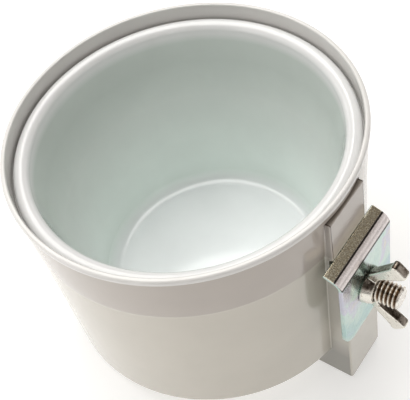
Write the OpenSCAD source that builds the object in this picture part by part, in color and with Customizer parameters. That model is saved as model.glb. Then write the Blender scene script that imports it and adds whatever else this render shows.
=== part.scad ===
// Bolt-on cage cup: a moulded outer cup with a hollow mounting boss, a lift-out
// glazed bowl, and a carriage bolt, hooked clamp plate and wing nut that grip
// the wires of a cage between the plate and the boss.
// Frame: origin where the bolt's axis leaves the boss's front face,
// +X out of the boss along the bolt, +Z up. Millimetres.

/* [Outer cup] */
// Outside diameter of the rim ring
rim_d = 114.3; // [110:0.1:120]
// Height from the base to the top of the rim ring
cup_h = 76.8; // [72:0.1:90]
// Outside diameter at the base
base_d = 108.8; // [106:0.1:109]
// Outside diameter at the foot of the rim band
waist_d = 111.6; // [110.8:0.1:112]
// Depth of the rim band below the top of the rim
band_h = 20.2; // [16:0.1:21]
// Wall thickness of the body and of the base
cup_wall = 2; // [1.6:0.1:2.4]
// Depth of the ledge that the bowl's rim sits on
ledge_drop = 7.7; // [7:0.1:9]

/* [Mounting boss] */
// Distance from the cup's axis to the boss's front face
boss_reach = 61; // [60:0.1:64]
// Width of the boss
boss_w = 19.2; // [18.4:0.1:22]
// Distance from the top of the rim down to the bolt's axis
bolt_drop = 42; // [38:0.5:46]
// How far the boss reaches below the base
foot_h = 14.2; // [8:0.1:20]
// Thickness of the boss's front wall
boss_front_wall = 2.2; // [2:0.1:3]

/* [Bowl] */
// Depth of the bowl's rim below the top of the rim ring
bowl_drop = 4.4; // [3.5:0.1:5]
// Outside diameter of the bowl's rim
bowl_rim_d = 110; // [109:0.1:110.4]
// Width of the rounded rim
bowl_rim_w = 5.3; // [4:0.1:6]
// Inside diameter at the bottom of the bowl's wall
bowl_floor_d = 80; // [76:0.5:88]
// Thickness of the bowl
bowl_wall = 2.2; // [1.8:0.1:2.6]

/* [Bolt and wing nut] */
// Thread diameter of the bolt
bolt_d = 7.9375; // [7.8:0.0125:8.1]
// Length of the bolt under its head
bolt_l = 15.875; // [14:0.125:18]
// Diameter of the bolt's domed head
bolt_head_d = 14.2; // [12:0.1:14.4]
// Distance between the tips of the wings
wing_span = 35; // [32:0.5:38]
// Height of the wing nut
wing_h = 13.4; // [12:0.1:14]
// Thickness of the wings
wing_t = 3.3; // [2.4:0.1:3.8]

/* [Clamp plate] */
// Width of the plate
plate_w = 29.4; // [26:0.2:32]
// Thickness of the plate
plate_t = 1.6; // [1.2:0.1:1.8]
// Gap between the plate and the boss with the nut run down
plate_gap = 0.5; // [0.4:0.1:0.8]
// Distance from the bolt's axis to the plate's bottom edge
plate_drop = 18; // [16:0.5:22]
// Angle that the top of the plate curls through
curl_angle = 68; // [60:1:72]

/* [Hidden] */
$fn = 96;

// Levels, measured from the bolt's axis
rim_z = bolt_drop;
base_z = rim_z - cup_h;
floor_z = base_z + cup_wall;
band_z = rim_z - band_h;
ledge_z = rim_z - ledge_drop;
foot_z = base_z - foot_h;

// Radii of the outer cup
rim_r = rim_d / 2;
waist_r = waist_d / 2;
base_r = base_d / 2;
band_top_r = rim_r - 0.45;
ring_bore_r = bowl_rim_d / 2 + 0.45;
seat_r = waist_r - cup_wall - 0.2;
cavity_base_r = base_r - cup_wall;
lip_h = 2.2;
base_corner_r = 0.8;
cavity_corner_r = 2;

// Boss
pad_x = -3.6;
pad_top_z = rim_z - 4.9;
pad_bottom_z = rim_z - 21.5;
groove_x = -5;
shoulder_z = rim_z - 26.2;
shoulder_r = 1.5;
foot_back_x = -14.2;
boss_corner_r = 1;
foot_corner_r = 1.2;
boss_side_wall = 2;
pocket_w = boss_w - 2 * boss_side_wall;
pocket_back_x = -20;
pocket_top_z = shoulder_z - 2;
foot_bottom = 2;
neck_w = bolt_d;
neck_clearance = 0.2;

// Bowl
bowl_rim_r = bowl_rim_d / 2;
bowl_top_z = rim_z - bowl_drop;
bowl_lip_r = bowl_rim_w / 2;
bowl_mouth_r = bowl_rim_r - bowl_rim_w;
bowl_foot_z = floor_z + 0.3;
bowl_floor_z = bowl_foot_z + 1.7;
bowl_floor_r = bowl_floor_d / 2;
bowl_fillet_r = 5;
bowl_foot_r = 2;

// Bolt
head_h = 3.6;
head_x = -boss_front_wall;
bolt_end_x = head_x + bolt_l;
bolt_point = 0.7;

// Clamp plate
plate_back_x = plate_gap;
plate_front_x = plate_back_x + plate_t;
plate_hole_d = 8.8;
plate_corner_r = 6;
curl_r = 4.2;
curl_z = rim_z - 27.5;
curl_x = plate_front_x - curl_r;
lip_l = 3.7;

// Wing nut
nut_x = plate_front_x;
nut_bore_d = bolt_d + 0.14;
hub_base_r = 6.2;
hub_top_r = 5.3;
hub_h = 3.8;
wing_corner_r = 1.1;

// Points along an arc from angle a0 to a1 about a centre
function arc_points(centre, r, a0, a1, steps = 6) =
    [for (i = [0:steps])
        let (a = a0 + (a1 - a0) * i / steps)
        [centre[0] + r * cos(a), centre[1] + r * sin(a)]];

// Puts a body of revolution on the cup's own axis
module on_cup_axis() {
    translate([-boss_reach, 0, 0]) children();
}

// Stands an outline, drawn in the plane of X and Z, up along Y
module across_y(width) {
    rotate([90, 0, 0])
        linear_extrude(height = width, center = true) children();
}

// Stands an outline, drawn in the plane of Y and Z, up along X
module along_x(from_x, to_x) {
    translate([from_x, 0, 0])
        rotate([90, 0, 90])
            linear_extrude(height = to_x - from_x) children();
}

// Outside of the cup: base, tapering body, band and rounded rim ring
module cup_outside() {
    rotate_extrude(convexity = 4)
        polygon(concat(
            [[0, base_z]],
            arc_points([base_r - base_corner_r, base_z + base_corner_r],
                       base_corner_r, -90, 0),
            [[waist_r - 0.2, band_z - 0.4],
             [waist_r, band_z],
             [band_top_r, rim_z - lip_h],
             [rim_r, rim_z - lip_h + 0.5]],
            arc_points([rim_r - 0.85, rim_z - 0.85], 0.85, 0, 90),
            [[0, rim_z]]));
}

// Space inside the cup: the rim's bore, the ledge for the bowl and the cavity
module cup_inside() {
    rotate_extrude(convexity = 4)
        polygon(concat(
            [[0, floor_z]],
            arc_points([cavity_base_r - cavity_corner_r, floor_z + cavity_corner_r],
                       cavity_corner_r, -90, 0),
            [[seat_r, ledge_z],
             [ring_bore_r, ledge_z],
             [ring_bore_r, rim_z - 0.5],
             [ring_bore_r + 0.5, rim_z],
             [ring_bore_r + 0.5, rim_z + 1],
             [0, rim_z + 1]]));
}

// Side view of the boss: pad under the rim, groove for the plate's lip, block
module boss_side() {
    polygon(concat(
        [[-boss_reach / 2, pad_top_z],
         [pad_x, pad_top_z],
         [pad_x, pad_bottom_z],
         [groove_x, pad_bottom_z - 0.8],
         [groove_x, shoulder_z]],
        arc_points([-shoulder_r, shoulder_z - shoulder_r], shoulder_r, 90, 0),
        [[0, foot_z],
         [foot_back_x, foot_z],
         [foot_back_x, base_z + 1],
         [-boss_reach / 2, base_z + 1]]));
}

// Front view of the boss, with its two lower corners rounded
module boss_front() {
    half = boss_w / 2;
    polygon(concat(
        [[half, pad_top_z], [-half, pad_top_z]],
        arc_points([-half + foot_corner_r, foot_z + foot_corner_r],
                   foot_corner_r, 180, 270),
        arc_points([half - foot_corner_r, foot_z + foot_corner_r],
                   foot_corner_r, 270, 360)));
}

// Plan view of the boss, with its two front corners rounded
module boss_plan() {
    half = boss_w / 2;
    polygon(concat(
        [[-boss_reach / 2, half], [-boss_reach / 2, -half]],
        arc_points([-boss_corner_r, -half + boss_corner_r], boss_corner_r, -90, 0),
        arc_points([-boss_corner_r, half - boss_corner_r], boss_corner_r, 0, 90)));
}

module boss() {
    intersection() {
        across_y(boss_w) boss_side();
        along_x(-boss_reach / 2, 0) boss_front();
        translate([0, 0, foot_z])
            linear_extrude(height = pad_top_z - foot_z) boss_plan();
    }
}

// Pocket for the bolt's head, open to the inside of the cup
module head_pocket() {
    translate([pocket_back_x, -pocket_w / 2, floor_z])
        cube([-boss_front_wall - pocket_back_x, pocket_w, pocket_top_z - floor_z]);
}

// Core of the foot, open at the back, under the base
module foot_core() {
    translate([foot_back_x - 1, -pocket_w / 2, foot_z + foot_bottom])
        cube([-boss_front_wall - foot_back_x + 1, pocket_w, foot_h - foot_bottom]);
}

// Square hole that keeps the bolt from turning
module neck_hole() {
    hole_w = neck_w + neck_clearance;
    translate([-boss_front_wall - 1, -hole_w / 2, -hole_w / 2])
        cube([boss_front_wall + 2, hole_w, hole_w]);
}

module outer_cup() {
    color("#c3bbad")
        difference() {
            union() {
                on_cup_axis() cup_outside();
                boss();
            }
            on_cup_axis() cup_inside();
            head_pocket();
            foot_core();
            neck_hole();
        }
}

module bowl() {
    lip_z = bowl_top_z - bowl_lip_r;
    color("#e3e6e2")
        on_cup_axis()
            rotate_extrude(convexity = 4)
                polygon(concat(
                    [[0, bowl_foot_z]],
                    arc_points([bowl_floor_r + bowl_wall - bowl_foot_r,
                                bowl_foot_z + bowl_foot_r], bowl_foot_r, -90, 0),
                    [[bowl_mouth_r + bowl_wall, ledge_z],
                     [bowl_rim_r, ledge_z]],
                    arc_points([bowl_rim_r - bowl_lip_r, lip_z], bowl_lip_r, 0, 180, 12),
                    arc_points([bowl_floor_r - bowl_fillet_r, bowl_floor_z + bowl_fillet_r],
                               bowl_fillet_r, 0, -90),
                    [[0, bowl_floor_z]]));
}

// Domed head, square neck, and a threaded shank drawn at its major diameter
module carriage_bolt() {
    head_r = bolt_head_d / 2;
    dome_r = (head_r * head_r + head_h * head_h) / (2 * head_h);
    shank_r = bolt_d / 2;
    color("#b9b29c")
        union() {
            intersection() {
                translate([head_x - head_h + dome_r, 0, 0]) sphere(r = dome_r);
                translate([head_x - head_h, 0, 0])
                    rotate([0, 90, 0]) cylinder(r = head_r, h = head_h);
            }
            translate([head_x, -neck_w / 2, -neck_w / 2])
                cube([boss_front_wall, neck_w, neck_w]);
            translate([-1, 0, 0])
                rotate([0, 90, 0])
                    cylinder(r = shank_r, h = bolt_end_x - bolt_point + 1);
            translate([bolt_end_x - bolt_point, 0, 0])
                rotate([0, 90, 0])
                    cylinder(r1 = shank_r, r2 = shank_r - bolt_point, h = bolt_point);
        }
}

// Side view of the plate: flat blade, curled top and straight lip
module plate_side() {
    curl_inner_r = curl_r - plate_t;
    lip_dir = [-sin(curl_angle), cos(curl_angle)];
    outer = arc_points([curl_x, curl_z], curl_r, 0, curl_angle, 10);
    inner = arc_points([curl_x, curl_z], curl_inner_r, curl_angle, 0, 10);
    polygon(concat(
        [[plate_back_x, -plate_drop], [plate_front_x, -plate_drop]],
        outer,
        [outer[10] + lip_l * lip_dir, inner[0] + lip_l * lip_dir],
        inner));
}

// Front view of the plate, with rounded corners below
module plate_front() {
    half = plate_w / 2;
    polygon(concat(
        [[half, rim_z], [-half, rim_z]],
        arc_points([-half + plate_corner_r, -plate_drop + plate_corner_r],
                   plate_corner_r, 180, 270, 8),
        arc_points([half - plate_corner_r, -plate_drop + plate_corner_r],
                   plate_corner_r, 270, 360, 8)));
}

module clamp_plate() {
    color("#a9a79b")
        difference() {
            intersection() {
                across_y(plate_w) plate_side();
                along_x(-10, plate_front_x + 1) plate_front();
            }
            translate([plate_back_x - 1, 0, 0])
                rotate([0, 90, 0]) cylinder(d = plate_hole_d, h = plate_t + 2);
        }
}

// One wing in the plane of X and Z, swept up and away from the hub
module wing() {
    tip_z = wing_span / 2;
    across_y(wing_t)
        union() {
            polygon([[nut_x + 0.5, hub_top_r - 0.7],
                     [nut_x + 0.9, 7.8],
                     [nut_x + 8.9, tip_z - 0.3],
                     [nut_x + wing_h, 14.3],
                     [nut_x + wing_h - 0.3, 13],
                     [nut_x + 6.6, 9.3],
                     [nut_x + 4.2, 7.2],
                     [nut_x + 3.6, hub_top_r - 0.7]]);
            translate([nut_x + 9.7, tip_z - wing_corner_r]) circle(r = wing_corner_r);
            translate([nut_x + wing_h - wing_corner_r, 14]) circle(r = wing_corner_r);
        }
}

module wing_nut() {
    color("#aeaa9f")
        difference() {
            union() {
                translate([nut_x, 0, 0])
                    rotate([0, 90, 0]) cylinder(r1 = hub_base_r, r2 = hub_top_r, h = hub_h);
                wing();
                mirror([0, 0, 1]) wing();
            }
            translate([nut_x - 1, 0, 0])
                rotate([0, 90, 0]) cylinder(d = nut_bore_d, h = hub_h + 2);
        }
}

outer_cup();
bowl();
carriage_bolt();
clamp_plate();
wing_nut();
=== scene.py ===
"""Looks for the bolt-on cage cup: detailed meshes, materials, light and camera."""
import math

import bmesh
import bpy
from mathutils import Matrix, Vector


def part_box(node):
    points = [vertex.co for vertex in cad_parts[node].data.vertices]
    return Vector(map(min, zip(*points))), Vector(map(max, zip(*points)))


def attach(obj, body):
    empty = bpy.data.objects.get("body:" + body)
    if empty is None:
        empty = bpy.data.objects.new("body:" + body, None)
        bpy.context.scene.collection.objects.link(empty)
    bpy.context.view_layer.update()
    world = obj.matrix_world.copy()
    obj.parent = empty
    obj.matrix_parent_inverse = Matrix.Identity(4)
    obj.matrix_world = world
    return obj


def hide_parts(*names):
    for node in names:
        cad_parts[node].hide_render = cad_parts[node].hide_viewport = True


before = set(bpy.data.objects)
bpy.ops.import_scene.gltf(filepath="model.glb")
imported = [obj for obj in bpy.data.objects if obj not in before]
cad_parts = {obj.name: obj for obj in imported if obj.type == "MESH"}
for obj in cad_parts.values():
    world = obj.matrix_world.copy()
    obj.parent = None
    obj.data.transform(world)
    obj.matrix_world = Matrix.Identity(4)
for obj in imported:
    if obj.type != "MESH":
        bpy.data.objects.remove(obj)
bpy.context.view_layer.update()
MM = 0.001

# Places, from the frame
CUP_LOW, CUP_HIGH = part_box("outer_cup")
RIM_Z = CUP_HIGH.z / MM
FOOT_Z = CUP_LOW.z / MM

# The outer cup, in millimetres; radii are about the cup's own axis
BOSS_REACH = 61.0
AXIS_X = -BOSS_REACH
RIM_R = 57.15
BAND_TOP_R = 56.7
WAIST_R = 55.8
BASE_R = 54.4
WALL = 2.0
BASE_Z = RIM_Z - 76.8
FLOOR_Z = BASE_Z + WALL
BAND_Z = RIM_Z - 20.2
BAND_STEP = 0.2
BAND_STEP_H = 0.4
LEDGE_Z = RIM_Z - 7.7
LIP_H = 2.2
RING_BORE_R = 55.45
SEAT_R = 53.6
CAVITY_BASE_R = 52.4
BASE_CORNER_R = 0.8

# The mounting boss
BOSS_HALF = 9.6
PAD_REACH = 57.4
PAD_TOP_Z = RIM_Z - 4.9
PAD_BOTTOM_Z = RIM_Z - 21.5
GROOVE_REACH = 56.0
SHOULDER_Z = RIM_Z - 26.2
SHOULDER_R = 1.5
BOSS_CORNER_R = 0.9
PAD_CORNER_R = 0.4
BOSS_FILLET_R = 0.5
FOOT_BACK = 46.8
FOOT_CORNER_R = 1.2
FRONT_WALL = 2.2
POCKET_HALF = 7.6
POCKET_TOP_Z = SHOULDER_Z - 2.0
CORE_BACK_X = -15.2

# The bowl
BOWL_RIM_R = 55.0
BOWL_LIP_R = 2.65
BOWL_TOP_Z = RIM_Z - 4.4
BOWL_WALL = 2.2
BOWL_FOOT_Z = FLOOR_Z + 0.3
BOWL_FLOOR_Z = BOWL_FOOT_Z + 1.7
BOWL_FLOOR_R = 40.0
BOWL_FILLET_R = 5.0

# Bolt, plate and wing nut
INCH = 25.4
BOLT_R = INCH * 5 / 32
PITCH = INCH / 18
THREAD_DEEP = 0.72
HEAD_R = 7.1
HEAD_H = 3.6
HEAD_X = -FRONT_WALL
BOLT_END_X = HEAD_X + INCH * 5 / 8
PLATE_HALF = 14.7
PLATE_T = 1.6
PLATE_CORNER_R = 6.0
PLATE_HOLE_R = 4.4
PLATE_BACK_X = 0.5
PLATE_FRONT_X = PLATE_BACK_X + PLATE_T
PLATE_DROP = 18.0
CURL_R = 4.2
CURL_Z = RIM_Z - 27.5
CURL_ANGLE = math.radians(68)
LIP_L = 3.7
WING_SPAN = 35.0
WING_T = 3.3
WING_H = 13.4
HUB_BASE_R = 6.2
HUB_TOP_R = 5.3
HUB_H = 3.8

TAU = 2 * math.pi


# ---------------------------------------------------------------- mesh tools
def arc(cx, cy, r, start, end, steps):
    """Points along an arc, angles in degrees."""
    angles = [math.radians(start + (end - start) * i / steps) for i in range(steps + 1)]
    return [(cx + r * math.cos(a), cy + r * math.sin(a)) for a in angles]


def along(a, b, steps):
    """Points from a to b, without a itself."""
    return [tuple(p + (q - p) * i / steps for p, q in zip(a, b)) for i in range(1, steps + 1)]


def new_object(name, points, faces):
    """A mesh object from points in millimetres."""
    mesh = bpy.data.meshes.new(name)
    mesh.from_pydata([tuple(c * MM for c in p) for p in points], [], faces)
    mesh.validate()
    obj = bpy.data.objects.new(name, mesh)
    bpy.context.scene.collection.objects.link(obj)
    return obj


def loft(name, rings, fan=True):
    """A closed skin over rings of points, each end closed by a fan or by one face."""
    count = len(rings[0])
    points = [p for ring in rings for p in ring]
    faces = []
    for k in range(len(rings) - 1):
        for i in range(count):
            j = (i + 1) % count
            faces.append((k * count + i, k * count + j, (k + 1) * count + j, (k + 1) * count + i))
    for first, flip in ((0, True), ((len(rings) - 1) * count, False)):
        if not fan:
            face = tuple(range(first, first + count))
            faces.append(face[::-1] if flip else face)
            continue
        ring = points[first:first + count]
        centre = len(points)
        points.append(tuple(sum(c) / count for c in zip(*ring)))
        for i in range(count):
            j = (i + 1) % count
            face = (first + i, first + j, centre)
            faces.append(face[::-1] if flip else face)
    obj = new_object(name, points, faces)
    outward(obj)
    return obj


def outward(obj):
    """Turns every face outward."""
    bm = bmesh.new()
    bm.from_mesh(obj.data)
    bmesh.ops.recalc_face_normals(bm, faces=bm.faces)
    bm.to_mesh(obj.data)
    bm.free()


def lathe(name, profile, steps=288):
    """A solid of revolution on the cup's axis; its profile runs from axis to axis as (radius, z)."""
    rings = []
    for r, z in profile:
        turn = (TAU * i / steps for i in range(steps))
        rings.append([(AXIS_X + r * math.cos(a), r * math.sin(a), z) for a in turn])
    return loft(name, rings)


def block(name, low, high):
    """A plain box, used only to cut with."""
    xs, ys, zs = zip(low, high)
    points = [(x, y, z) for x in xs for y in ys for z in zs]
    faces = [(0, 1, 3, 2), (4, 6, 7, 5), (0, 4, 5, 1), (2, 3, 7, 6), (0, 2, 6, 4), (1, 5, 7, 3)]
    obj = new_object(name, points, faces)
    outward(obj)
    return obj


def bolt_ring(r, x, steps):
    """A circle round the bolt's axis."""
    turns = (TAU * i / steps for i in range(steps))
    return [(x, r * math.cos(a), r * math.sin(a)) for a in turns]


def tube(name, r, x0, x1, steps=96):
    """A plain cylinder along the bolt's axis, used only to cut with."""
    return loft(name, [bolt_ring(r, x, steps) for x in (x0, x1)])


def apply_modifiers(obj):
    """Replaces the mesh by its evaluated one."""
    graph = bpy.context.evaluated_depsgraph_get()
    mesh = bpy.data.meshes.new_from_object(obj.evaluated_get(graph))
    obj.modifiers.clear()
    old = obj.data
    obj.data = mesh
    bpy.data.meshes.remove(old)


def combine(obj, other, operation):
    """An exact boolean with another object, which is then deleted."""
    modifier = obj.modifiers.new("cut", "BOOLEAN")
    modifier.object = other
    modifier.operation = operation
    modifier.solver = "EXACT"
    apply_modifiers(obj)
    bpy.data.objects.remove(other)


def finish_surface(obj, crease=35):
    """Smooth shading with true creases and flat faces kept flat."""
    obj.data.shade_smooth()
    obj.data.set_sharp_from_angle(angle=math.radians(crease))
    modifier = obj.modifiers.new("normals", "WEIGHTED_NORMAL")
    modifier.keep_sharp = True
    modifier.weight = 60


# ---------------------------------------------------------------- outer cup
# Every ring has the same number of points, so that the skin runs straight from one to the next.
FRONT_STEPS, CORNER_STEPS, SIDE_STEPS, FILLET_STEPS, JOIN_STEPS, ROUND_STEPS = 8, 5, 5, 5, 2, 120
BOSS_TURN = 0.215  # radians each way from the boss's middle, beyond which every ring is plain and round


def ring_from_half(half, z):
    """Mirrors half an outline, front centre to back centre, and puts it at a height."""
    full = half + [(u, -v) for u, v in reversed(half[1:-1])]
    return [(AXIS_X + u, v, z) for u, v in full]


def round_stretch(r, start, stop, steps):
    """Points on a circle between two angles, without the first."""
    angles = (start + (stop - start) * i / steps for i in range(1, steps + 1))
    return [(r * math.cos(a), r * math.sin(a)) for a in angles]


def round_half(r):
    """Half a plain circle, with as many points in the boss's stretch as the boss needs."""
    near = FRONT_STEPS + CORNER_STEPS + SIDE_STEPS + FILLET_STEPS + JOIN_STEPS - 1
    half = [(r, 0.0)] + round_stretch(r, 0.0, BOSS_TURN, near)
    return half + round_stretch(r, BOSS_TURN, math.pi, ROUND_STEPS)


def boss_front_half(reach, half_width, corner):
    """The boss's front face and rounded corner, from its middle outward."""
    half = [(reach, (half_width - corner) * i / FRONT_STEPS) for i in range(FRONT_STEPS)]
    return half + arc(reach - corner, half_width - corner, corner, 0, 90, CORNER_STEPS)


def bossed_half(r, reach, half_width, fillet, corner):
    """Half a circle with the boss standing out of it, joined by a fillet."""
    half = boss_front_half(reach, half_width, corner)
    centre_u = math.sqrt((r + fillet) ** 2 - (half_width + fillet) ** 2)
    half += along(half[-1], (centre_u, half_width), SIDE_STEPS - 1)
    turn = math.atan2(half_width + fillet, centre_u)
    half += arc(centre_u, half_width + fillet, fillet, -90, math.degrees(turn) - 180, FILLET_STEPS)[1:]
    half += round_stretch(r, turn, BOSS_TURN, JOIN_STEPS)
    return half + round_stretch(r, BOSS_TURN, math.pi, ROUND_STEPS)


def foot_half(reach, half_width, back, corner):
    """Half the foot's own outline, with the round stretch's points along its side and back."""
    half = boss_front_half(reach, half_width, corner)
    side_end = BASE_R - 0.4
    half += along(half[-1], (side_end, half_width), SIDE_STEPS - 1)
    rest = FILLET_STEPS + JOIN_STEPS + ROUND_STEPS
    side = side_end - back
    for i in range(1, rest + 1):
        travel = (side + half_width) * i / rest
        if travel < side:
            half.append((side_end - travel, half_width))
        else:
            half.append((back, max(half_width - (travel - side), 0.0)))
    return half


def cup_inner_r(z):
    """Radius of the cavity's wall at a height."""
    share = (z - FLOOR_Z) / (LEDGE_Z - FLOOR_Z)
    return CAVITY_BASE_R + (SEAT_R - CAVITY_BASE_R) * share


def cup_outer_r(z):
    """Radius of the band and, a small step further in, of the body at a height."""
    if z > BAND_Z:
        share = (z - BAND_Z) / (RIM_Z - LIP_H - BAND_Z)
        return WAIST_R + (BAND_TOP_R - WAIST_R) * share
    body_top_r = WAIST_R - BAND_STEP
    share = (z - BASE_Z) / (BAND_Z - BAND_STEP_H - BASE_Z)
    return min(BASE_R + (body_top_r - BASE_R) * share, WAIST_R)


def cup_inside_rings():
    """Floor, cavity with the bolt's pocket, ledge and rim bore, upward."""
    pocket_r = 0.4
    pocket = (BOSS_REACH - FRONT_WALL, POCKET_HALF, pocket_r, pocket_r)
    corner = 2.0
    rings = [ring_from_half(round_half(r), FLOOR_Z) for r in (12.0, 40.0)]
    for r, z in arc(CAVITY_BASE_R - corner, FLOOR_Z + corner, corner, -90, 0, 6):
        rings.append(ring_from_half(bossed_half(r, *pocket), z))
    for z in (-20.0, -10.0, 0.0, 8.0, POCKET_TOP_Z):
        rings.append(ring_from_half(bossed_half(cup_inner_r(z), *pocket), z))
    plain = [(cup_inner_r(z), z) for z in (POCKET_TOP_Z, 20.0, 27.0)]
    plain += arc(SEAT_R + 0.4, LEDGE_Z - 0.4, 0.4, 180, 90, 4)
    plain += arc(RING_BORE_R - 0.3, LEDGE_Z + 0.3, 0.3, -90, 0, 3)
    plain += [(RING_BORE_R, RIM_Z - 4.0)]
    plain += arc(RING_BORE_R + 0.5, RIM_Z - 0.5, 0.5, 180, 90, 6)
    rings += [ring_from_half(round_half(r), z) for r, z in plain]
    return rings


def cup_outside_rings():
    """Rim, band, boss, body and base, downward."""
    plain = arc(RIM_R - 0.85, RIM_Z - 0.85, 0.85, 90, 0, 8)
    plain += [(RIM_R, RIM_Z - LIP_H + 0.6)]
    plain += arc(RIM_R - 0.25, RIM_Z - LIP_H + 0.45, 0.25, 0, -90, 4)
    plain += [(BAND_TOP_R, RIM_Z - LIP_H + 0.2), (BAND_TOP_R, RIM_Z - LIP_H)]
    plain += [(cup_outer_r(z), z) for z in (PAD_TOP_Z + 1.2, PAD_TOP_Z)]
    rings = [ring_from_half(round_half(r), z) for r, z in plain]

    edge = 0.45
    levels = []
    for back, z in arc(0, PAD_TOP_Z - edge, edge, 90, 0, 4):
        levels.append((z, PAD_REACH - edge + back, BOSS_HALF - edge + back))
    for z in (PAD_TOP_Z - 5.0, PAD_TOP_Z - 10.0, BAND_Z + 0.01, BAND_Z - BAND_STEP_H, PAD_BOTTOM_Z):
        levels.append((z, PAD_REACH, BOSS_HALF))
    levels.append((PAD_BOTTOM_Z - 0.8, GROOVE_REACH, BOSS_HALF))
    levels.append((SHOULDER_Z, GROOVE_REACH, BOSS_HALF))
    for reach, z in arc(BOSS_REACH - SHOULDER_R, SHOULDER_Z - SHOULDER_R, SHOULDER_R, 90, 0, 8):
        levels.append((z, reach, BOSS_HALF))
    for z in (6.0, 0.0, -8.0, -16.0, -24.0, BASE_Z + BASE_CORNER_R + 1.0):
        levels.append((z, BOSS_REACH, BOSS_HALF))
    for z, reach, half_width in levels:
        corner = BOSS_CORNER_R if reach > BOSS_REACH - 1.0 else PAD_CORNER_R
        half = bossed_half(cup_outer_r(z), reach, half_width, BOSS_FILLET_R, corner)
        rings.append(ring_from_half(half, z))
    for r, z in arc(BASE_R - BASE_CORNER_R, BASE_Z + BASE_CORNER_R, BASE_CORNER_R, 0, -90, 8):
        rings.append(ring_from_half(bossed_half(r, BOSS_REACH, BOSS_HALF, BOSS_FILLET_R, BOSS_CORNER_R), z))
    return rings


def foot_rings():
    """The boss's foot, from the base down to its rounded lower end."""
    rings = []
    start_z = FOOT_Z + FOOT_CORNER_R
    for z in (BASE_Z, BASE_Z - 0.3, BASE_Z - 5.0, start_z):
        rings.append(ring_from_half(foot_half(BOSS_REACH, BOSS_HALF, FOOT_BACK, BOSS_CORNER_R), z))
    edge = 0.5
    for out, z in arc(BOSS_HALF - FOOT_CORNER_R, start_z, FOOT_CORNER_R, 0, -90, 24)[1:]:
        depth = max(FOOT_Z + edge - z, 0.0)
        pull = edge - math.sqrt(max(edge * edge - depth * depth, 0.0))
        rings.append(ring_from_half(foot_half(BOSS_REACH - pull, out, FOOT_BACK + pull, BOSS_CORNER_R), z))
    return rings


def make_cup():
    rings = cup_inside_rings() + cup_outside_rings() + foot_rings()
    cup = loft("cup_shell", rings)
    foot_core = block("core", (CORE_BACK_X, -POCKET_HALF, FOOT_Z + WALL), (HEAD_X, POCKET_HALF, BASE_Z))
    combine(cup, foot_core, "DIFFERENCE")
    hole = BOLT_R + 0.1
    combine(cup, block("neck", (HEAD_X - 1.0, -hole, -hole), (1.0, hole, hole)), "DIFFERENCE")
    finish_surface(cup)
    return cup


# ---------------------------------------------------------------- bowl
def make_bowl():
    lip_z = BOWL_TOP_Z - BOWL_LIP_R
    mouth_r = BOWL_RIM_R - 2 * BOWL_LIP_R
    foot_r = 2.0
    inner_top = (mouth_r, lip_z)
    inner_foot = (BOWL_FLOOR_R, BOWL_FLOOR_Z + BOWL_FILLET_R)
    profile = [(1.0, BOWL_FOOT_Z), (30.0, BOWL_FOOT_Z)]
    profile += arc(BOWL_FLOOR_R + BOWL_WALL - foot_r, BOWL_FOOT_Z + foot_r, foot_r, -90, 0, 6)
    profile += along(profile[-1], (mouth_r + BOWL_WALL, LEDGE_Z), 6)
    profile += arc(BOWL_RIM_R - 0.3, LEDGE_Z + 0.3, 0.3, -90, 0, 3)
    profile += arc(BOWL_RIM_R - BOWL_LIP_R, lip_z, BOWL_LIP_R, 0, 180, 28)
    profile += along(inner_top, inner_foot, 10)
    fillet_centre = (BOWL_FLOOR_R - BOWL_FILLET_R, BOWL_FLOOR_Z + BOWL_FILLET_R)
    profile += arc(*fillet_centre, BOWL_FILLET_R, 0, -90, 16)[1:]
    profile += [(30.0, BOWL_FLOOR_Z), (10.0, BOWL_FLOOR_Z)]
    bowl = lathe("glazed_bowl", profile)
    finish_surface(bowl)
    return bowl


# ---------------------------------------------------------------- bolt
def thread_depth(phase):
    """Depth below the major diameter at a phase from 0 to 1 along the pitch."""
    crest, root = 0.16, 0.14
    rise = (1 - crest - root) / 2
    if phase < crest:
        return 0.0
    if phase < crest + rise:
        return THREAD_DEEP * (phase - crest) / rise
    if phase < crest + rise + root:
        return THREAD_DEEP
    return THREAD_DEEP * (1 - phase) / rise


def square_ring(half, x, steps, corner=0.35):
    """A square with cut corners round the bolt's axis."""
    ring = []
    for i in range(steps):
        c, s = math.cos(TAU * i / steps), math.sin(TAU * i / steps)
        reach = min(half / max(abs(c), abs(s)), half * math.sqrt(2) - corner)
        ring.append((x, reach * c, reach * s))
    return ring


def head_rings(steps):
    """The domed head and the square neck behind the boss's front wall."""
    dome_r = (HEAD_R ** 2 + HEAD_H ** 2) / (2 * HEAD_H)
    dome_steps = 12
    rings = []
    for i in range(1, dome_steps + 1):
        r = HEAD_R * i / dome_steps - 0.05
        rings.append(bolt_ring(r, HEAD_X - HEAD_H + dome_r - math.sqrt(dome_r ** 2 - r * r), steps))
    rings.append(bolt_ring(HEAD_R, HEAD_X - 0.15, steps))
    rings.append(bolt_ring(HEAD_R - 0.1, HEAD_X, steps))
    rings.append(square_ring(BOLT_R, HEAD_X, steps))
    rings.append(square_ring(BOLT_R, -0.25, steps))
    rings.append(square_ring(BOLT_R - 0.2, 0.0, steps))
    return rings


def thread_rings(steps, chamfer):
    """The helical thread, growing out of a thinner shank and cut off by the end's chamfer."""
    shank_r = BOLT_R - 0.45
    thread_from, thread_full = 0.3, 1.2
    slices = 18
    rings = [bolt_ring(shank_r, 0.0, steps)]
    x = thread_from
    while x < BOLT_END_X - 0.02:
        ring = []
        limit = BOLT_R - max(x - (BOLT_END_X - chamfer), 0.0)
        fade = min(max((x - thread_from) / (thread_full - thread_from), 0.0), 1.0)
        for i in range(steps):
            depth = thread_depth((x / PITCH - i / steps) % 1.0)
            r = min(shank_r + (BOLT_R - depth - shank_r) * fade, limit)
            ring.append((x, r * math.cos(TAU * i / steps), r * math.sin(TAU * i / steps)))
        rings.append(ring)
        x += PITCH / slices
    return rings


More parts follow.
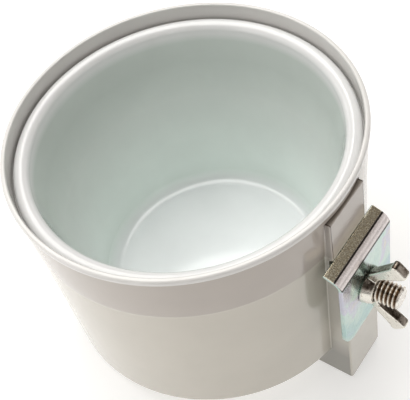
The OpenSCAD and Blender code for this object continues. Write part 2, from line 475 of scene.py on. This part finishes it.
def make_bolt():
    steps = 72
    chamfer = 0.75
    end_r = BOLT_R - chamfer
    rings = head_rings(steps) + thread_rings(steps, chamfer)
    rings.append(bolt_ring(end_r - 0.05, BOLT_END_X - 0.005, steps))
    rings.append(bolt_ring(end_r - 0.35, BOLT_END_X, steps))
    rings.append(bolt_ring(end_r - 1.4, BOLT_END_X - 0.08, steps))
    bolt = loft("threaded_bolt", rings)
    finish_surface(bolt, 40)
    return bolt


# ---------------------------------------------------------------- clamp plate
def plate_spine():
    """The middle line of the plate as (x, z, along_x, along_z), from its foot to the lip's tip."""
    mid_x = (PLATE_BACK_X + PLATE_FRONT_X) / 2
    mid_r = CURL_R - PLATE_T / 2
    curl_x = PLATE_FRONT_X - CURL_R
    corner, corner_steps, flat_steps, curl_steps = PLATE_CORNER_R, 14, 10, 24
    quarter = [math.pi / 2 * i / corner_steps for i in range(corner_steps + 1)]
    heights = [-PLATE_DROP + corner * (1 - math.cos(a)) for a in quarter]
    flat = CURL_Z + PLATE_DROP - corner
    heights += [-PLATE_DROP + corner + flat * i / flat_steps for i in range(1, flat_steps)]
    spine = [(mid_x, z, 0.0, 1.0) for z in heights]
    for i in range(curl_steps + 1):
        a = CURL_ANGLE * i / curl_steps
        c, s = math.cos(a), math.sin(a)
        spine.append((curl_x + mid_r * c, CURL_Z + mid_r * s, -s, c))
    x, z, dx, dz = spine[-1]
    for share in (0.3, 0.6, 0.88, 0.96, 1.0):
        spine.append((x + dx * LIP_L * share, z + dz * LIP_L * share, dx, dz))
    return spine


def plate_half_width(z):
    """Half the plate's width at a height: round corners below, straight above."""
    corner = PLATE_CORNER_R
    rise = z + PLATE_DROP
    if rise >= corner:
        return PLATE_HALF
    return PLATE_HALF - corner + math.sqrt(max(corner ** 2 - (corner - rise) ** 2, 0.0))


def plate_section(half, thick, edge):
    """The plate's cross-section as (across, out of the face), anticlockwise, rounded at its edges."""
    across = 14
    side = thick / 2
    e = min(edge, side)
    points = [(-half + e + 2 * (half - e) * i / across, side) for i in range(across + 1)][::-1]
    points += arc(-half + e, side - e, e, 90, 180, 4)[1:]
    points += arc(-half + e, -side + e, e, 180, 270, 4)
    points += [(-half + e + 2 * (half - e) * i / across, -side) for i in range(1, across + 1)]
    points += arc(half - e, -side + e, e, 270, 360, 4)[1:]
    points += arc(half - e, side - e, e, 0, 90, 4)[:-1]
    return points


def make_plate():
    spine = plate_spine()
    last = len(spine) - 1
    edge, tip_inset = 0.38, 0.25
    thinning = {0: 0.66, 1: 0.192, last - 1: 0.12, last: 0.36}
    rings = []
    for k, (x, z, dx, dz) in enumerate(spine):
        thick = PLATE_T - thinning.get(k, 0.0)
        half = plate_half_width(z) - (tip_inset if k == last else 0.0)
        rings.append([(x + n * dz, y, z - n * dx) for y, n in plate_section(half, thick, edge)])
    plate = loft("hook_plate", rings)
    combine(plate, tube("drill", PLATE_HOLE_R, PLATE_BACK_X - 1, PLATE_FRONT_X + 1), "DIFFERENCE")
    finish_surface(plate, 38)
    return plate


# ---------------------------------------------------------------- wing nut
def wing_outline():
    """One wing as (out along the bolt, away from the axis), clockwise from the hub's foot."""
    tip = WING_SPAN / 2
    outline = [(0.5, 4.6), (0.55, 5.6), (0.75, 6.8), (1.5, 8.4), (3.0, 10.0)]
    outline += [(8.2, tip - 1.6)]
    outline += arc(9.6, tip - 1.15, 1.15, 150, 50, 6)
    outline += arc(WING_H - 1.2, 13.8, 1.2, 50, -55, 6)
    outline += [(11.0, 11.2), (9.0, 9.9), (7.4, 9.0), (5.9, 8.0), (4.6, 6.9), (3.9, 5.8), (3.6, 4.6)]
    return outline


def make_wing(side):
    """A wing as a thin plate with chamfered faces; side is 1 for the upper one and -1 for the lower."""
    outline = wing_outline()
    middle_out = sum(out for out, away in outline) / len(outline)
    middle_away = sum(away for out, away in outline) / len(outline)
    half, chamfer = WING_T / 2, 0.45
    rings = []
    for y, inset in ((-half, chamfer), (-half + chamfer, 0.0), (half - chamfer, 0.0), (half, chamfer)):
        ring = []
        for out, away in outline:
            keep = 1 - inset / math.hypot(out - middle_out, away - middle_away)
            x = PLATE_FRONT_X + middle_out + (out - middle_out) * keep
            z = side * (middle_away + (away - middle_away) * keep)
            ring.append((x, y, z))
        rings.append(ring)
    return loft("wing", rings, fan=False)


def make_nut():
    steps = 96
    profile = [(HUB_BASE_R - 0.3, 0.0), (HUB_BASE_R, 0.3)]
    profile += [(HUB_BASE_R - 0.5, 2.4), (HUB_TOP_R + 0.05, HUB_H - 0.8)]
    profile += arc(HUB_TOP_R - 0.6, HUB_H - 0.7, 0.7, 0, 90, 4)
    nut = loft("cast_wing_nut", [bolt_ring(r, PLATE_FRONT_X + out, steps) for r, out in profile])
    for side in (1, -1):
        combine(nut, make_wing(side), "UNION")
    remesh = nut.modifiers.new("blend", "REMESH")
    remesh.mode = "VOXEL"
    remesh.voxel_size = 0.22 * MM
    smooth = nut.modifiers.new("soften", "SMOOTH")
    smooth.factor = 0.5
    smooth.iterations = 9
    apply_modifiers(nut)
    tapped_r = BOLT_R + 0.08
    combine(nut, tube("tap", tapped_r, PLATE_FRONT_X - 1, PLATE_FRONT_X + HUB_H + 2), "DIFFERENCE")
    finish_surface(nut, 40)
    return nut


# ---------------------------------------------------------------- materials
class Graph:
    """A short way to write node materials."""

    def __init__(self, name):
        self.material = bpy.data.materials.new(name)
        self.material.use_nodes = True
        self.nodes = self.material.node_tree.nodes
        self.links = self.material.node_tree.links
        self.shader = self.nodes.get("Principled BSDF")
        if self.shader is None:
            self.nodes.clear()
            self.shader = self.nodes.new("ShaderNodeBsdfPrincipled")
            output = self.nodes.new("ShaderNodeOutputMaterial")
            self.links.new(self.shader.outputs[0], output.inputs[0])
        self.place = self.nodes.new("ShaderNodeTexCoord").outputs["Object"]

    def set(self, **values):
        """Sets constants on the shader."""
        names = {"metallic": "Metallic", "roughness": "Roughness", "coat": "Coat Weight",
                 "coat_roughness": "Coat Roughness", "specular": "Specular IOR Level", "ior": "IOR"}
        for key, value in values.items():
            self.shader.inputs[names[key]].default_value = value

    def link(self, socket, name):
        self.links.new(socket, self.shader.inputs[name])

    def stretch(self, sx, sy, sz):
        node = self.nodes.new("ShaderNodeMapping")
        self.links.new(self.place, node.inputs["Vector"])
        node.inputs["Scale"].default_value = (sx, sy, sz)
        return node.outputs["Vector"]

    def noise(self, size_mm, detail=2.0, rough=0.5, vector=None, distortion=0.0):
        node = self.nodes.new("ShaderNodeTexNoise")
        self.links.new(vector or self.place, node.inputs["Vector"])
        node.inputs["Scale"].default_value = 1 / (size_mm * MM)
        node.inputs["Detail"].default_value = detail
        node.inputs["Roughness"].default_value = rough
        node.inputs["Distortion"].default_value = distortion
        return node.outputs["Fac"]

    def ramp(self, socket, stops, mode="EASE"):
        node = self.nodes.new("ShaderNodeValToRGB")
        self.links.new(socket, node.inputs["Fac"])
        node.color_ramp.interpolation = mode
        elements = node.color_ramp.elements
        while len(elements) < len(stops):
            elements.new(0.5)
        for element, (position, colour) in zip(elements, stops):
            element.position = position
            element.color = (*colour, 1.0)
        return node.outputs["Color"]

    def spread(self, socket, low, high, from_low=0.0, from_high=1.0):
        node = self.nodes.new("ShaderNodeMapRange")
        self.links.new(socket, node.inputs["Value"])
        node.inputs["From Min"].default_value = from_low
        node.inputs["From Max"].default_value = from_high
        node.inputs["To Min"].default_value = low
        node.inputs["To Max"].default_value = high
        return node.outputs["Result"]

    def mix(self, factor, first, second):
        node = self.nodes.new("ShaderNodeMix")
        node.data_type = "RGBA"
        self.links.new(factor, node.inputs["Factor"])
        self.links.new(first, node.inputs[6])
        self.links.new(second, node.inputs[7])
        return node.outputs[2]

    def math(self, operation, first, second=None):
        node = self.nodes.new("ShaderNodeMath")
        node.operation = operation
        self.links.new(first, node.inputs[0])
        if second is not None:
            self.links.new(second, node.inputs[1])
        return node.outputs["Value"]

    def both(self, first, second):
        """1 where two masks are 1."""
        return self.math("MULTIPLY", first, second)

    def either(self, first, second):
        """1 where one of two masks is 1."""
        return self.math("MAXIMUM", first, second)

    def rise(self, socket, start_mm, end_mm):
        """0 up to the start and 1 from the end."""
        return self.spread(socket, 0.0, 1.0, start_mm * MM, end_mm * MM)

    def fall(self, socket, start_mm, end_mm):
        """1 up to the start and 0 from the end."""
        return self.spread(socket, 1.0, 0.0, start_mm * MM, end_mm * MM)

    def band(self, socket, low_mm, high_mm, soft_mm):
        """1 between two places and 0 outside, with soft edges."""
        rise = self.rise(socket, low_mm - soft_mm, low_mm)
        return self.both(rise, self.fall(socket, high_mm, high_mm + soft_mm))

    def tone(self, colour):
        node = self.nodes.new("ShaderNodeRGB")
        node.outputs["Color"].default_value = (*colour, 1.0)
        return node.outputs["Color"]

    def facing(self, letter):
        """The surface normal's part along one axis."""
        node = self.nodes.new("ShaderNodeSeparateXYZ")
        coordinates = self.nodes.new("ShaderNodeTexCoord")
        self.links.new(coordinates.outputs["Normal"], node.inputs["Vector"])
        return node.outputs[letter]

    def axis(self, letter):
        """The place along one axis."""
        node = self.nodes.new("ShaderNodeSeparateXYZ")
        self.links.new(self.place, node.inputs["Vector"])
        return node.outputs[letter]

    def radius(self, plane, centre=(0.0, 0.0, 0.0)):
        """Distance from a line through the centre; plane is 1 along each axis that counts."""
        offset = self.nodes.new("ShaderNodeVectorMath")
        offset.operation = "SUBTRACT"
        self.links.new(self.place, offset.inputs[0])
        offset.inputs[1].default_value = centre
        flat = self.nodes.new("ShaderNodeVectorMath")
        flat.operation = "MULTIPLY"
        self.links.new(offset.outputs["Vector"], flat.inputs[0])
        flat.inputs[1].default_value = plane
        length = self.nodes.new("ShaderNodeVectorMath")
        length.operation = "LENGTH"
        self.links.new(flat.outputs["Vector"], length.inputs[0])
        return length.outputs["Value"]

    def openness(self, reach_mm):
        """How open a spot is, so that painted shade can darken the corners."""
        node = self.nodes.new("ShaderNodeAmbientOcclusion")
        node.samples = 8
        node.inputs["Distance"].default_value = reach_mm * MM
        return node.outputs["AO"]

    def multiply(self, first, second):
        node = self.nodes.new("ShaderNodeVectorMath")
        node.operation = "MULTIPLY"
        self.links.new(first, node.inputs[0])
        self.links.new(second, node.inputs[1])
        return node.outputs["Vector"]

    def bump(self, socket, strength, depth_mm, below=None):
        node = self.nodes.new("ShaderNodeBump")
        node.inputs["Strength"].default_value = strength
        node.inputs["Distance"].default_value = depth_mm * MM
        self.links.new(socket, node.inputs["Height"])
        if below is not None:
            self.links.new(below, node.inputs["Normal"])
        return node.outputs["Normal"]


def grey(value):
    return (value, value, value)


def boss_shade_lines(g):
    """1 in thin lines of painted shade beside the pad, along its edges and above its top."""
    across = g.math("ABSOLUTE", g.axis("Y"))
    height = g.axis("Z")
    beside = g.band(across, BOSS_HALF + 0.10, BOSS_HALF + 0.42, 0.12)
    beside = g.both(beside, g.band(height, PAD_BOTTOM_Z - 0.5, PAD_TOP_Z, 0.3))
    edge = g.band(across, BOSS_HALF - 0.60, BOSS_HALF - 0.34, 0.10)
    edge = g.both(edge, g.band(height, PAD_BOTTOM_Z + 1.0, PAD_TOP_Z, 0.3))
    above = g.band(height, PAD_TOP_Z + 0.12, PAD_TOP_Z + 0.35, 0.08)
    above = g.both(above, g.band(across, -1.0, BOSS_HALF + 0.3, 0.1))
    outside = g.rise(g.axis("X"), AXIS_X + RING_BORE_R + 0.15, AXIS_X + RING_BORE_R + 0.35)
    return g.both(g.either(g.either(beside, edge), above), outside)


def boss_shade(g):
    """Up to 1 on the boss's side faces, which get painted shade darker than the body, most of all below the
    base.
    """
    across = g.math("ABSOLUTE", g.axis("Y"))
    sideways = g.spread(g.math("ABSOLUTE", g.facing("Y")), 0.0, 1.0, 0.80, 0.97)
    near = g.band(across, BOSS_HALF - 1.0, BOSS_HALF + 0.5, 0.1)
    depth = g.spread(g.axis("Z"), 0.85, 0.30, (BASE_Z - 1.0) * MM, (BASE_Z + 9.0) * MM)
    on_boss = g.rise(g.axis("X"), AXIS_X + 44.0, AXIS_X + 45.0)
    return g.both(g.both(sideways, near), g.both(depth, on_boss))


def ring_bore(g):
    """1 on the wall inside the rim ring, above the ledge that carries the bowl."""
    radius = g.radius((1.0, 1.0, 0.0), (AXIS_X * MM, 0.0, 0.0))
    within = g.fall(radius, RING_BORE_R + 0.25, RING_BORE_R + 0.45)
    return g.both(within, g.rise(g.axis("Z"), LEDGE_Z - 0.5, LEDGE_Z))


def rim_shadow_line(g):
    """1 in a thin line of painted shadow round the outside, under the rim's lip."""
    lip_z = RIM_Z - LIP_H
    return g.both(g.band(g.axis("Z"), lip_z - 0.30, lip_z - 0.02, 0.10), g.spread(ring_bore(g), 1.0, 0.0))


def foot_shadow_line(g):
    """1 in a thin line of painted shadow along the bottom edge of the cup and of its foot, on their sides
    only.
    """
    height = g.axis("Z")
    clear_of_boss = g.rise(g.math("ABSOLUTE", g.axis("Y")), BOSS_HALF, BOSS_HALF + 0.1)
    cup = g.both(g.band(height, BASE_Z - 0.1, BASE_Z + 0.25, 0.10), clear_of_boss)
    foot = g.band(height, FOOT_Z - 0.1, FOOT_Z + 0.50, 0.15)
    return g.both(g.either(cup, foot), g.spread(g.facing("Z"), 0.0, 1.0, -0.80, -0.60))


def painted_shade(g, light_banded, cloud):
    """The cup's painted shade: darkened corners, its grey rim bore, its shaded boss and its fine dark lines
    of painted shadow.
    """
    # Tones for the painted shade on the boss and for the painted shadow lines beside the pad, under the
    # rim's lip and along the foot.
    bore, shade, crease_shade = (0.64, 0.63, 0.61), (0.20, 0.195, 0.170), (0.10, 0.075, 0.06)
    rim_shadow, foot_shadow = (0.16, 0.135, 0.12), (0.08, 0.065, 0.055)
    corner_shade_ramp = [(0.0, (0.20, 0.18, 0.15)), (0.5, (0.66, 0.65, 0.61)), (0.85, grey(1.0))]
    # Ambient occlusion darkens the corners with painted shade.
    corners = g.multiply(light_banded, g.ramp(g.openness(7.0), corner_shade_ramp))
    colour = g.mix(ring_bore(g), corners, g.multiply(g.tone(bore), cloud))
    colour = g.mix(boss_shade(g), colour, g.tone(shade))
    colour = g.mix(boss_shade_lines(g), colour, g.tone(crease_shade))
    colour = g.mix(rim_shadow_line(g), colour, g.tone(rim_shadow))
    return g.mix(foot_shadow_line(g), colour, g.tone(foot_shadow))


def moulded_plastic(name, tones, rough, coat, used):
    """Glossy moulded plastic: a tone for each stretch of height, which carries painted shade and light,
    cloudiness, orange peel and, where used, painted shade in corners and lines.
    """
    g = Graph(name)
    height = g.spread(g.axis("Z"), 0.0, 1.0, FOOT_Z * MM, RIM_Z * MM)
    stops = []
    for low, high, tone in tones:
        stops += [((z - FOOT_Z) / (RIM_Z - FOOT_Z), tone) for z in (low, high)]
    cloud = g.ramp(g.noise(16.0, 3.0), [(0.3, grey(0.965)), (0.7, grey(1.0))])
    light_banded = g.multiply(g.ramp(height, stops, "LINEAR"), cloud)
    g.link(painted_shade(g, light_banded, cloud) if used else light_banded, "Base Color")
    wear = g.noise(2.2, 6.0, 0.7)
    g.link(g.spread(wear, rough - 0.03, rough + 0.07, 0.3, 0.75), "Roughness")
    peel = g.bump(g.noise(5.5, 1.0), 0.10, 0.10)
    g.link(g.bump(g.noise(0.35, 3.0), 0.05, 0.02, peel), "Normal")
    g.set(coat=coat, coat_roughness=0.06, specular=0.5, ior=1.5)
    return g.material


def zinc_plate():
    """Bright zinc: drifting tints, and on the hook a grainy lip and a pale bend between dark lines, all
    painted reflection and highlight.
    """
    g = Graph("zinc_passivated")
    # pale is a painted highlight and the dark tone a painted dark reflection; face is the plate's own tint.
    pale, painted_dark, face = (1.0, 0.93, 0.92), (0.06, 0.05, 0.045), (0.50, 0.62, 0.60)
    film = g.noise(13.0, 2.5, 0.55, distortion=0.6)
    tint = g.ramp(film, [(0.26, (0.44, 0.52, 0.62)), (0.40, (0.42, 0.58, 0.56)), (0.52, (0.54, 0.66, 0.61)),
                         (0.62, (0.55, 0.55, 0.64)), (0.74, (0.62, 0.60, 0.50))])
    # The lip's grainy gold is a painted reflection.
    lip_reflection = g.ramp(g.noise(0.45, 3.0), [(0.35, (0.80, 0.71, 0.51)), (0.65, (1.0, 0.95, 0.78))])

    # Places on the hook: upward tilt finds the bend, and the distance out finds the lip and its tip
    tilt, out = g.facing("Z"), g.axis("X")
    front = g.spread(g.facing("X"), 0.0, 1.0, 0.05, 0.15)
    hook = g.both(g.rise(g.axis("Z"), CURL_Z - 0.2, CURL_Z), front)
    on_bend = g.both(g.spread(tilt, 0.0, 1.0, 0.03, 0.06), hook)
    on_dark_line = g.both(g.band(out, -0.55, -0.20, 0.15), hook)
    on_lip = g.both(g.fall(out, -0.80, -0.60), hook)
    on_tip = g.both(g.fall(out, -4.75, -4.60), hook)

    # The bend is painted by its tilt: dark reflection lines, then a pale painted highlight; the lip's tip
    # gets a pale painted highlight too.
    bend = g.ramp(tilt, [(0.05, face), (0.10, painted_dark), (0.23, painted_dark), (0.29, pale)], "LINEAR")
    colour = g.mix(on_bend, tint, bend)
    colour = g.mix(on_dark_line, colour, g.tone(painted_dark))
    colour = g.mix(on_lip, colour, lip_reflection)
    g.link(g.mix(on_tip, colour, g.tone(pale)), "Base Color")
    # Less metallic where the bend's painted highlight faces out, so that the painted colours show.
    painted_bend_front = g.both(on_bend, g.rise(out, -0.15, 0.05))
    g.link(g.spread(painted_bend_front, 1.0, 0.30), "Metallic")
    streak = g.noise(0.5, 4.0, 0.7, g.stretch(1.0, 1.0, 0.06))
    g.link(g.spread(streak, 0.16, 0.32, 0.3, 0.7), "Roughness")
    peel = g.bump(g.noise(2.4, 2.0), 0.12, 0.08)
    g.link(g.bump(streak, 0.12, 0.02, peel), "Normal")
    return g.material


def forged_zinc():
    """Plated forging: mottled tone, painted shade darkening the upward faces, soft pits and bright flats.
    """
    g = Graph("forged_zinc")
    light, dark = (0.82, 0.79, 0.72), (0.36, 0.30, 0.24)
    mottle = g.noise(1.9, 5.0, 0.62)
    tone = g.ramp(mottle, [(0.30, dark), (0.42, light), (1.0, light)])
    # Upward faces get painted shade in dark browns.
    upward_shade = g.ramp(mottle, [(0.35, (0.10, 0.075, 0.055)), (0.60, (0.34, 0.30, 0.26))])
    upward = g.spread(g.facing("Z"), 0.0, 1.0, 0.42, 0.66)
    g.link(g.mix(upward, tone, upward_shade), "Base Color")
    g.link(g.spread(g.noise(0.8, 4.0), 0.16, 0.32, 0.3, 0.7), "Roughness")
    pits = g.bump(g.noise(1.6, 2.0), 0.14, 0.08)
    g.link(g.bump(g.noise(0.3, 3.0), 0.10, 0.02, pits), "Normal")
    g.set(metallic=1.0)
    return g.material


def threaded_steel():
    """Plated thread: bright crests and dark brown roots, by distance from the bolt's axis."""
    g = Graph("plated_thread")
    root, flank, crest = (0.10, 0.06, 0.035), (0.36, 0.28, 0.20), (0.80, 0.75, 0.68)
    height = g.rise(g.radius((0.0, 1.0, 1.0)), BOLT_R - THREAD_DEEP, BOLT_R)
    thread = g.ramp(height, [(0.0, root), (0.45, flank), (0.85, crest)])
    at_end = g.rise(g.axis("X"), BOLT_END_X - 0.5, BOLT_END_X - 0.3)
    end_face = g.ramp(g.noise(0.9, 4.0), [(0.3, (0.60, 0.55, 0.50)), (0.6, (0.86, 0.83, 0.78))])
    g.link(g.mix(at_end, thread, end_face), "Base Color")
    g.link(g.spread(g.noise(0.6, 4.0), 0.16, 0.36, 0.3, 0.7), "Roughness")
    g.link(g.bump(g.noise(0.4, 3.0), 0.15, 0.03), "Normal")
    g.set(metallic=1.0)
    return g.material


def floor_paint():
    """A pale floor lit from beneath as well, so that shadows on it stay faint."""
    g = Graph("studio_floor")
    g.link(g.ramp(g.noise(400.0, 2.0), [(0.2, grey(0.60)), (0.8, grey(0.62))]), "Base Color")
    g.shader.inputs["Emission Color"].default_value = (1.0, 0.995, 0.98, 1.0)
    g.shader.inputs["Emission Strength"].default_value = 0.54
    g.set(roughness=0.7, specular=0.1)
    return g.material


# ---------------------------------------------------------------- stage
def aim(obj, place, target, up_lean=0.0):
    """Points an object's -Z at a target, leaning its top to the left by up_lean."""
    back = (place - target).normalized()
    right = Vector((0, 0, 1)).cross(back).normalized()
    up = back.cross(right)
    c, s = math.cos(up_lean), math.sin(up_lean)
    lean_right, lean_up = right * c - up * s, right * s + up * c
    turn = Matrix((lean_right, lean_up, back)).transposed()
    obj.matrix_world = Matrix.Translation(place) @ turn.to_4x4()


def direction(azimuth, elevation):
    """Unit vector towards a viewpoint, in degrees; azimuth 0 is on -Y and 90 on +X."""
    a, e = math.radians(azimuth), math.radians(elevation)
    return Vector((math.sin(a) * math.cos(e), -math.cos(a) * math.cos(e), math.sin(e)))


def make_camera():
    """A close view from above and in front of the clamp, leaning to the left."""
    data = bpy.data.cameras.new("camera")
    data.lens = 79.0
    data.sensor_width = 36.0
    camera = bpy.data.objects.new("camera", data)
    bpy.context.scene.collection.objects.link(camera)
    target = Vector((AXIS_X + 14.3, -11.7, RIM_Z - 15.6)) * MM
    azimuth, elevation, distance, lean = 46.4, 50.6, 0.275, math.radians(14.8)
    aim(camera, target + direction(azimuth, elevation) * distance, target, lean)
    bpy.context.scene.camera = camera


def area_light(name, azimuth, elevation, distance, size, watts, colour):
    """A rectangular light that faces the cup."""
    data = bpy.data.lights.new(name, "AREA")
    data.shape = "RECTANGLE"
    data.size, data.size_y = size
    data.energy = watts
    data.color = colour
    light = bpy.data.objects.new(name, data)
    bpy.context.scene.collection.objects.link(light)
    target = Vector((AXIS_X, 0, 0)) * MM
    aim(light, target + direction(azimuth, elevation) * distance, target)


def make_world():
    """A dim warm room with a pale band above the horizon."""
    world = bpy.data.worlds.new("studio")
    bpy.context.scene.world = world
    world.use_nodes = True
    nodes, links = world.node_tree.nodes, world.node_tree.links
    background = nodes.get("Background") or nodes.new("ShaderNodeBackground")
    split = nodes.new("ShaderNodeSeparateXYZ")
    links.new(nodes.new("ShaderNodeTexCoord").outputs["Generated"], split.inputs["Vector"])
    ramp = nodes.new("ShaderNodeValToRGB")
    links.new(split.outputs["Z"], ramp.inputs["Fac"])
    stops = [(0.0, (0.06, 0.05, 0.045)), (0.06, (0.06, 0.05, 0.045)), (0.10, (1.0, 0.97, 0.95)),
             (0.36, (1.0, 0.97, 0.95)), (0.42, (0.10, 0.08, 0.065)), (0.80, (0.16, 0.145, 0.13))]
    elements = ramp.color_ramp.elements
    while len(elements) < len(stops):
        elements.new(0.5)
    for element, (position, colour) in zip(elements, stops):
        element.position = position
        element.color = (*colour, 1.0)
    links.new(ramp.outputs["Color"], background.inputs["Color"])
    background.inputs["Strength"].default_value = 0.95


def make_floor():
    """A pale floor just below the cup's back edge and its foot, as it leans when it is put down."""
    size = 6000.0
    low_x, low_z = AXIS_X - BASE_R, BASE_Z
    foot_x, foot_z = AXIS_X + FOOT_BACK, FOOT_Z
    slope = (foot_z - low_z) / (foot_x - low_x)
    gap = 0.2
    corners = []
    for x, y in ((-size, -size), (size, -size), (size, size), (-size, size)):
        corners.append((x, y, low_z + slope * (x - low_x) - gap))
    floor = new_object("floor", corners, [(0, 1, 2, 3)])
    floor.data.materials.append(floor_paint())


def dress(obj, material, node, body):
    """Gives a mesh its material, puts it on its body and lets it stand in for a node of the frame."""
    obj.data.materials.clear()
    obj.data.materials.append(material)
    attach(obj, body)
    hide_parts(node)


make_camera()
make_world()
make_floor()
area_light("overhead", 250, 72, 0.9, (0.9, 0.9), 9.0, (1.0, 0.99, 0.97))
area_light("left_fill", 330, 30, 0.9, (0.7, 0.5), 0.9, (1.0, 0.99, 0.98))

# The cup's height bands carry painted shade and light: the band, which faces down, is painted darker than
# the body, and the rim's lip, which faces up, lighter.
body_tone, band_shade_tone, lip_light_tone = (0.63, 0.595, 0.52), (0.495, 0.447, 0.402), (0.78, 0.77, 0.75)
cup_tones = [(FOOT_Z, BAND_Z - BAND_STEP_H, body_tone),
             (BAND_Z, RIM_Z - LIP_H, band_shade_tone),
             (RIM_Z - LIP_H + 0.2, RIM_Z, lip_light_tone)]
# The bowl's height bands are painted shade and light: its upper wall painted darker, its lower wall and
# floor lighter, as they look lit from above.
bowl_shade_bands = [(FOOT_Z, BOWL_FLOOR_Z, (0.83, 0.855, 0.87)),
              (BOWL_FLOOR_Z + 4.0, BOWL_FLOOR_Z + 10.0, (0.87, 0.95, 0.91)),
              (8.0, 9.0, (0.74, 0.79, 0.76)),
              (BOWL_TOP_Z - 14.0, BOWL_TOP_Z - 6.0, (0.58, 0.63, 0.60)),
              (BOWL_TOP_Z - 3.5, BOWL_TOP_Z, (0.765, 0.77, 0.77))]
cup_plastic = moulded_plastic("cup_plastic", cup_tones, rough=0.16, coat=0.4, used=True)
bowl_glaze = moulded_plastic("bowl_glaze", bowl_shade_bands, rough=0.13, coat=0.5, used=False)
dress(make_cup(), cup_plastic, "outer_cup", "cup")
dress(make_bowl(), bowl_glaze, "bowl", "bowl")
dress(make_bolt(), threaded_steel(), "carriage_bolt", "cup")
dress(make_plate(), zinc_plate(), "clamp_plate", "clamp")
dress(make_nut(), forged_zinc(), "wing_nut", "nut")

bpy.context.scene.view_settings.view_transform = "Standard"
